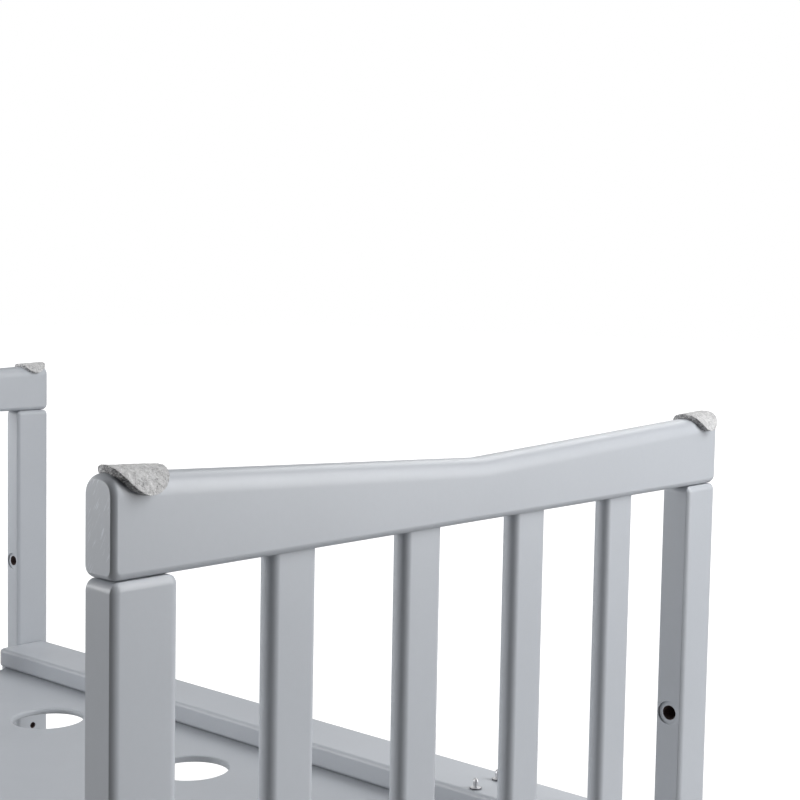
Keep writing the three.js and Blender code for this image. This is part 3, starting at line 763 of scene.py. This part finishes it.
def base_board():
    length, width = BEAM_LENGTH / 2, BEAM_Y + BEAM_WIDTH / 2 - BOARD_SIDE_MARGIN
    low, high = BOARD_TOP - BOARD_THICKNESS, BOARD_TOP
    piece = block("base_board_panel", (-length, -width, low), (length, width, high))
    round_over(piece, runs_along(Z), BOARD_CORNER)
    reach = FRAME_WIDTH / 2 - BOARD_TONGUE
    for side in SIDES.values():
        inner, outer = side * (length - BOARD_END_RECESS), side * (length + BOARD_RECESS_CORNER)
        near, far = min(inner, outer), max(inner, outer)
        cutter = block("notch", (near, -reach, low - OVERRUN), (far, reach, high + OVERRUN))

        def at_inner_corner(edge):
            return runs_along(Z)(edge) and abs(edge.verts[0].co.x - inner) < NEAR

        round_over(cutter, at_inner_corner, BOARD_END_RECESS - OVERRUN, steps=8)
        cut(piece, cutter)
    for column in range(VENT_COLUMNS):
        x = (column - (VENT_COLUMNS - 1) / 2) * VENT_PITCH + VENT_SHIFT
        for row in ROWS.values():
            y = row * (FRAME_WIDTH / 2 - VENT_ROW_FROM_SIDE)
            down = (0, 0, -1)
            drill(piece, VENT_RADIUS, (x, y, high), down, BOARD_THICKNESS + OVERRUN, sides=96)
            for z in (low, high):
                ease_rim(piece, VENT_RADIUS, (x, y, z), down, VENT_ROUND)
    on_faces = lies_at(Z, low, high)
    round_over(piece, lambda edge: is_sharp(edge) and on_faces(edge), BOARD_ROUND, steps=4)
    return finish_piece(piece, BOARD_LACQUER, "board_lacquer", "base_board")


# Felt

# Each hand-cut pad's radius, its middle from the rail's end, and its shift to the outer side
FELT_PADS = {
    ("right", "front"): (15 * MM, 18.7 * MM, 1.6 * MM),
    ("right", "rear"): (14.7 * MM, 15 * MM, 1.5 * MM),
    ("left", "front"): (14.7 * MM, 15 * MM, 1.2 * MM),
    ("left", "rear"): (15.2 * MM, 15.2 * MM, 0.6 * MM),
}
FELT_GRID = 60
# The nap's ruffles: how fine each is, and its height
FELT_RUFFLES = [(260, 0.28 * MM), (900, 0.12 * MM)]
# How far the ruffles drift from one pad to the next
FELT_DRIFT = (0.37, 0.11, 0.23)


def flat_round(name, radius):
    """A flat round of felt, cut from a grid, with the sharp edges of its cut softened."""
    deselect_all()
    bpy.ops.mesh.primitive_grid_add(x_subdivisions=FELT_GRID, y_subdivisions=FELT_GRID, size=2)
    piece = bpy.context.object
    piece.name = name
    for vertex in piece.data.vertices:
        u, v = vertex.co.x, vertex.co.y
        vertex.co.x = radius * u * math.sqrt(1 - v * v / 2)
        vertex.co.y = radius * v * math.sqrt(1 - u * u / 2)
    apply(piece, "SOLIDIFY", thickness=FELT_THICKNESS, offset=1, use_even_offset=True)
    return round_over(piece, is_sharp, FELT_EDGE_ROUND, steps=2)


def bend_over_crest(piece, side, middle, radius, outward):
    """Bends a flat round over a rail's crest and marks how near each point is to its cut rim."""
    cut_rim = piece.data.attributes.new("cut_rim", "FLOAT", "POINT")
    bend = STOCK / 2 + FELT_GAP
    for vertex, rim in zip(piece.data.vertices, cut_rim.data):
        across, along, level = vertex.co.x + side * outward, vertex.co.y, vertex.co.z
        rim.value = max(0, 1 - (radius - vertex.co.xy.length) / FELT_RIM_DEPTH)
        angle = max(-math.pi / 2, min(math.pi / 2, across / bend))
        hanging = max(0, abs(across) - bend * math.pi / 2)
        share = level / FELT_THICKNESS
        rise = FELT_INNER_LIFT + (FELT_LIFT - FELT_INNER_LIFT) * share
        lift = crest_radius(angle) + FELT_GAP + rise * (across / radius) ** 2 + level
        y = middle + along
        drop = RAIL_END_DROP * end_share(y) * math.cos(angle) * (1 - share)
        axis = RAIL_BOTTOM + crest_height(y) - STOCK / 2 - drop
        x = side * END_FRAME_X + lift * math.sin(angle)
        vertex.co = Vector((x, y, axis + lift * math.cos(angle) - hanging))


def ruffle(piece, seed):
    """Raises and lowers a piece's surface a little, as a nap does."""
    drift = Vector([seed * step for step in FELT_DRIFT])
    ruffled = []
    for vertex in piece.data.vertices:
        spot = vertex.co + drift
        push = sum(noise.noise(spot * fineness) * height for fineness, height in FELT_RUFFLES)
        ruffled.append(vertex.co + vertex.normal * push)
    for vertex, place in zip(piece.data.vertices, ruffled):
        vertex.co = place


def felt_pad(side_name, row_name, seed):
    radius, from_end, outward = FELT_PADS[side_name, row_name]
    middle = ROWS[row_name] * (FRAME_WIDTH / 2 - from_end)
    piece = flat_round(f"{side_name}_{row_name}_felt_pad_cloth", radius)
    bend_over_crest(piece, SIDES[side_name], middle, radius, outward)
    apply(piece, "SUBSURF", levels=1, render_levels=1)
    ruffle(piece, seed)
    finish_piece(piece, FELT, "felt", f"{side_name}_{row_name}_felt_pad", angle=60)
    return piece


# Hardware

SAME_POINT = 0.001 * MM


def turned(name, outline, steps=40):
    """A piece turned about +Z from points (radius, height) that start and end on the axis."""
    deselect_all()
    mesh = bpy.data.meshes.new(name)
    edges = [(i, i + 1) for i in range(len(outline) - 1)]
    mesh.from_pydata([(r, 0, z) for r, z in outline], edges, [])
    piece = bpy.data.objects.new(name, mesh)
    bpy.context.scene.collection.objects.link(piece)
    edit(piece, "EDGE", everything)
    bpy.ops.mesh.spin(steps=steps, angle=2 * math.pi, center=(0, 0, 0), axis=(0, 0, 1))
    bpy.ops.mesh.select_all(action="SELECT")
    bpy.ops.mesh.remove_doubles(threshold=SAME_POINT)
    bpy.ops.mesh.normals_make_consistent(inside=False)
    return close(piece)


def arc(centre, radius, start, stop, steps=4):
    turn = [math.radians(start + (stop - start) * i / steps) for i in range(steps + 1)]
    return [(centre[0] + radius * math.cos(a), centre[1] + radius * math.sin(a)) for a in turn]


def studs():
    collar, neck, head, soft = STUD_COLLAR_RADIUS, STUD_NECK_RADIUS, STUD_HEAD_RADIUS, STUD_EASE
    collar_top = JOINT_GAP + STUD_COLLAR_HEIGHT
    head_base = STUD_HEIGHT - STUD_HEAD_HEIGHT
    outline = [
        (0, -STUD_DEPTH), (STUD_THREAD_RADIUS, -STUD_DEPTH),
        (STUD_THREAD_RADIUS, JOINT_GAP), (collar, JOINT_GAP),
        *arc((collar - soft, collar_top - soft), soft, start=0, stop=90),
        *arc((neck + soft, collar_top + soft), soft, start=270, stop=180),
        (neck, head_base - soft), (head - soft, head_base),
        *arc((head - soft, head_base + soft), soft, start=270, stop=360),
        *arc((0, STUD_HEIGHT - head), head, start=35, stop=90, steps=6),
    ]
    first = turned("stud", outline)
    from_middle = INSIDE_LENGTH / 2 - STUD_FROM_END_FRAME
    for row_name, row in ROWS.items():
        pair_y = row * (FRAME_WIDTH / 2 - STUDS_FROM_SIDE)
        places = [(x, pair_y + step * STUD_SPACING / 2, BEAM_TOP)
                  for x in (-from_middle, from_middle) for step in (-1, 1)]
        for number, place in enumerate(places, 1):
            piece = copy_of(first, f"{row_name}_beam_stud_{number}_metal", place)
            finish_piece(piece, STUD_STEEL, "steel", f"{row_name}_beam_stud_{number}")
            second_finish(piece, COLLAR_STEEL, lambda face: face.center.z < BEAM_TOP + collar_top)
    bpy.data.objects.remove(first)


# Finishes of the solids that stay as they are, by a word in each one's name
SOLID_FINISHES = {"dowel": BEECH, "bolt": STEEL, "barrel": STEEL, "screw": STEEL}


def cad_finishes():
    for name, node in frame["nodes"].items():
        for word, material in SOLID_FINISHES.items():
            if word in name:
                node.data.materials.clear()
                node.data.materials.append(material)


for side_name in SIDES:
    for row_name in ROWS:
        post(side_name, row_name)
    top_rail(side_name)
    lower_rail(side_name)
slats()
for row_name in ROWS:
    beam(row_name)
base_board()
for seed, (side_name, row_name) in enumerate(FELT_PADS):
    felt_pad(side_name, row_name, seed)
studs()
cad_finishes()


# Studio

STUDIO_MIDDLE = Vector((0.1, 0, 0.6))
# Each lamp's azimuth and elevation in degrees, distance and size in metres, and watts
LAMPS = {
    "right_low": (33, 12, 2, 1, 22),
    "right_high": (37, 40, 2, 1, 20),
    "right_near": (21, 30, 1.6, 0.7, 2),
    "rear_high": (105, 40, 2.6, 1.3, 18),
    "rear_low": (120, 12, 2.6, 1.3, 4),
    "rear_left": (150, 12, 2.6, 1.3, 3),
    "left_front": (210, 12, 2.6, 1.3, 19),
    "left_near": (216, 21, 1, 0.7, 4.5),
    "front_left": (240, 12, 2.6, 1.3, 9),
    "front_near": (253, 19, 1.1, 0.7, 2),
    "front_high": (240, 68, 2.6, 1.3, 8),
}
FLOOR_SIZE_M = 60
FLOOR_SHADE = 0.48
# The floor's white glow to the camera, and its share inside the near radius
FLOOR_GLOW = 1.2
GLOW_NEAR = 0.7
# Radii in metres between which that share rises to the whole
FLOOR_NEAR = 0.9
FLOOR_FAR = 1.7


def soft_box(name, azimuth, elevation, distance, size, watts):
    """A square soft box turned to the studio's middle."""
    turn, rise = math.radians(azimuth), math.radians(elevation)
    level = math.cos(rise)
    toward = Vector((level * math.cos(turn), level * math.sin(turn), math.sin(rise)))
    light = bpy.data.lights.new(name, "AREA")
    light.shape = "SQUARE"
    light.size = size
    light.energy = watts
    holder = bpy.data.objects.new(name, light)
    bpy.context.scene.collection.objects.link(holder)
    holder.visible_camera = False
    holder.location = STUDIO_MIDDLE + toward * distance
    holder.rotation_euler = (-toward).to_track_quat("-Z", "Y").to_euler()


def floor():
    """A pale floor that runs out to white, with the crib's shadow kept about its feet."""
    deselect_all()
    bpy.ops.mesh.primitive_plane_add(size=FLOOR_SIZE_M, location=(0, 0, 0))
    piece = bpy.context.object
    piece.name = "floor"
    paint = new_paint("pale_floor")
    seen = paint.node("ShaderNodeLightPath", output="Is Camera Ray")
    length = {"operation": "LENGTH"}
    radius = paint.node("ShaderNodeVectorMath", length, {0: paint.place()}, output="Value")
    whiter = {"Value": radius, "From Min": FLOOR_NEAR, "From Max": FLOOR_FAR,
              "To Min": GLOW_NEAR, "To Max": 1}
    outward = paint.node("ShaderNodeMapRange", {"interpolation_type": "SMOOTHSTEP"}, whiter)
    matt = paint.node("ShaderNodeBsdfDiffuse", None, {"Color": colour_of(FLOOR_SHADE)})
    white = {"Color": colour_of(1), "Strength": FLOOR_GLOW}
    glow = paint.node("ShaderNodeEmission", None, white)
    mixed = paint.node("ShaderNodeMixShader", None, {0: seen * outward, 1: matt, 2: glow})
    paint.node("ShaderNodeOutputMaterial", None, {"Surface": mixed})
    piece.data.materials.append(paint.holder)


def world():
    """White behind the crib, dark to everything but the camera."""
    paint = Paint(bpy.data.worlds.new("studio"))
    bpy.context.scene.world = paint.holder
    seen = paint.node("ShaderNodeLightPath", output="Is Camera Ray")
    glow = paint.node("ShaderNodeBackground", None, {"Color": colour_of(1), "Strength": seen})
    paint.node("ShaderNodeOutputWorld", None, {"Surface": glow})


for name, setting in LAMPS.items():
    soft_box(name, *setting)
floor()
world()
bpy.context.scene.view_settings.view_transform = "Standard"
